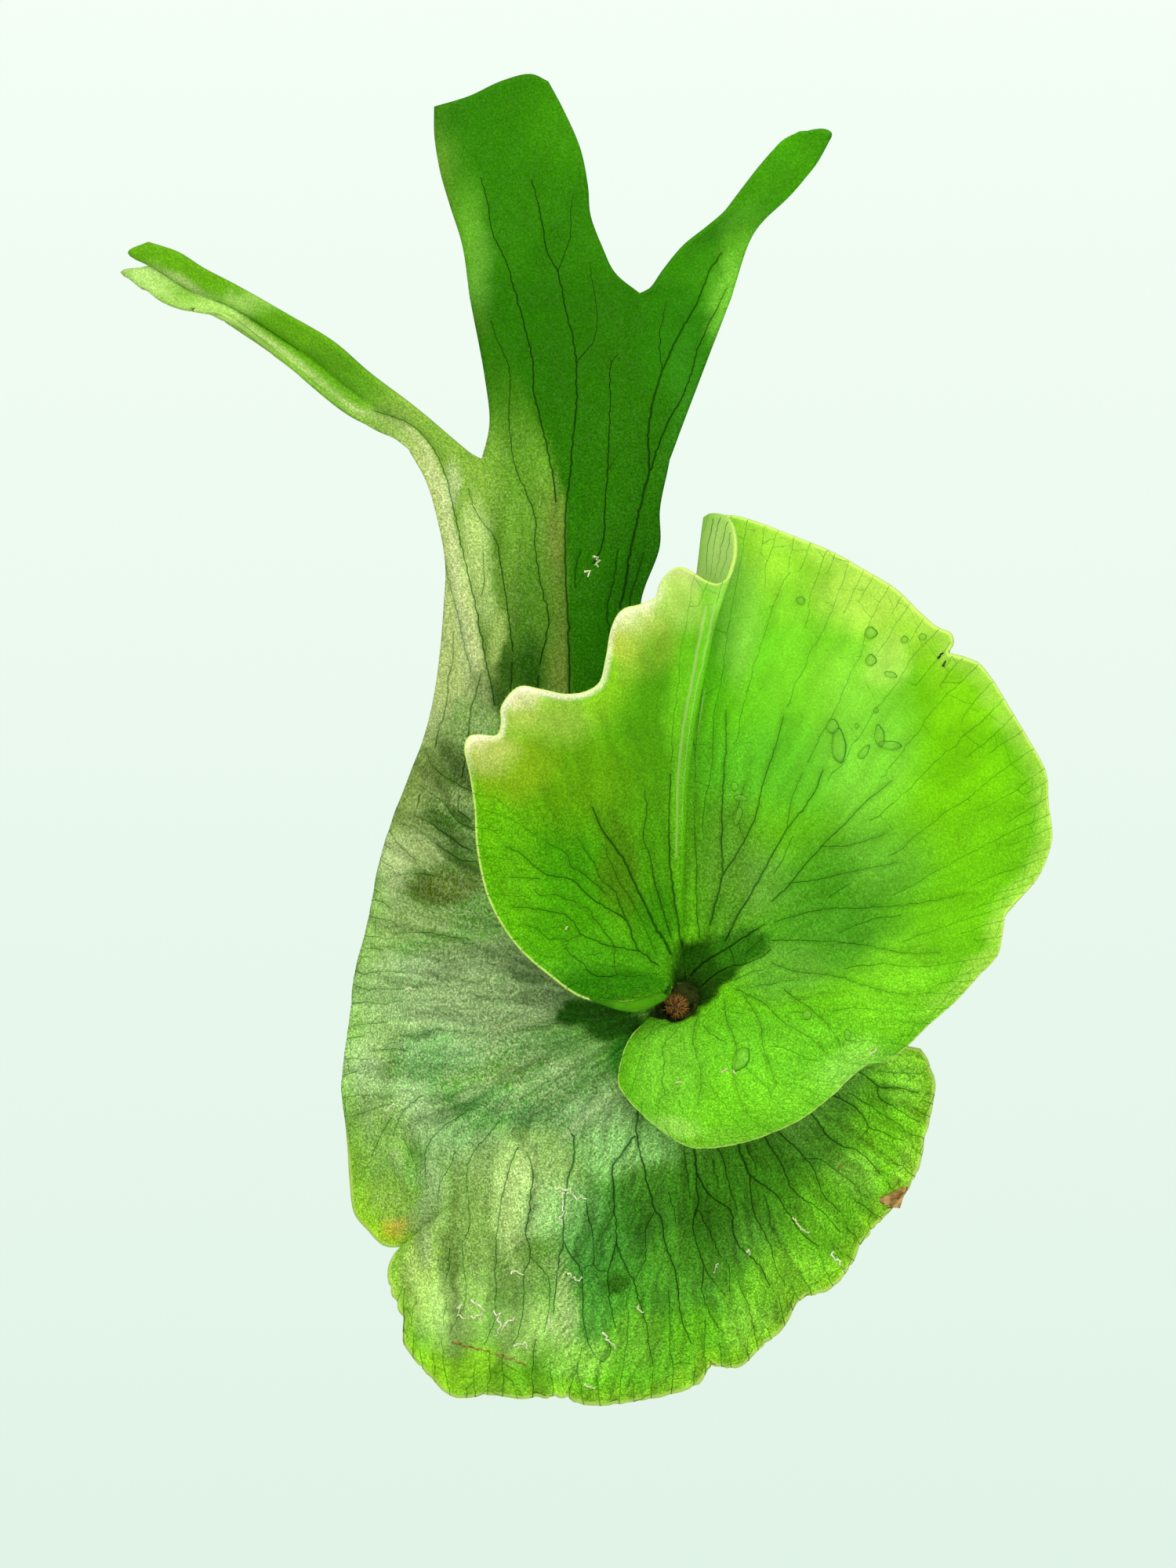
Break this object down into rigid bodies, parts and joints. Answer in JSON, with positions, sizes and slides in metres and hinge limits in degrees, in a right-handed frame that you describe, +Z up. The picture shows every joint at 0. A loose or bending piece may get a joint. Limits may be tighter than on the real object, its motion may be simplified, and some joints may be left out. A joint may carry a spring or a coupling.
{
  "type": "mounted staghorn fern",
  "caption": "Staghorn fern with a round shield, forked antler straps and a folded young frond, grown on a moss pad tied to a small wooden wall board.",
  "frame": {"origin": "centre of the mounting board's flat back face, where it meets the wall", "axes": "+Y into the wall, -Y out toward the viewer, +Z up along the fronds, +X to the viewer's right"},
  "size_m": [0.1899, 0.0769, 0.2713],
  "materials": {
    "board_wood": "oiled softwood, straight grain, matt",
    "moss": "dried and green sphagnum strands, matt",
    "tie_wire": "green coated garden wire",
    "bud_fur": "brown orange scales and hairs",
    "old_frond_green": "leathery, dark green under a grey green bloom, dark vein net",
    "young_frond_green": "velvety yellow green with fine pale hairs and a pale margin"
  },
  "bodies": {
    "root": {"mounting_board": "board_wood", "moss_pad": "moss", "tie_wire_lower": "tie_wire", "tie_wire_upper": "tie_wire", "rhizome_bud": "bud_fur", "old_frond": "old_frond_green", "young_frond": "young_frond_green"}
  },
  "joints": []
}
